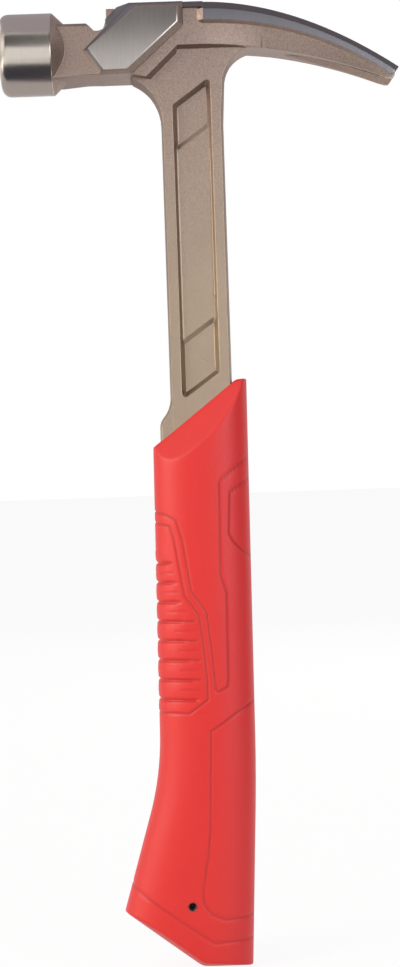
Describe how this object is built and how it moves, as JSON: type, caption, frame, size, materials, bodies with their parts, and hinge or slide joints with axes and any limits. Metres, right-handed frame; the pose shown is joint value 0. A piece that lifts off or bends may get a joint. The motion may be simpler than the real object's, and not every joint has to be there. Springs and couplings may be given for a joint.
{
  "type": "framing hammer",
  "caption": "All-steel framing hammer with a nail-set notch, straight claws and a red moulded rubber grip.",
  "frame": {"origin": "centre of the box's bottom, level with the flat foot of the butt", "axes": "+Z along the shank towards the head, +X towards the claws, +Y across the hammer"},
  "size_m": [0.1448, 0.0296, 0.35],
  "materials": {
    "forged_steel": "blasted, with polished bell, cheeks and claw edges",
    "magnet_nickel": "nickel plated",
    "core_plastic": "as moulded",
    "grip_rubber": "satin, moulded lines and ribs"
  },
  "bodies": {
    "root": {"hammer_forging": "forged_steel", "nail_set_magnet": "magnet_nickel", "grip_core": "core_plastic", "grip_sleeve": "grip_rubber"}
  },
  "joints": []
}
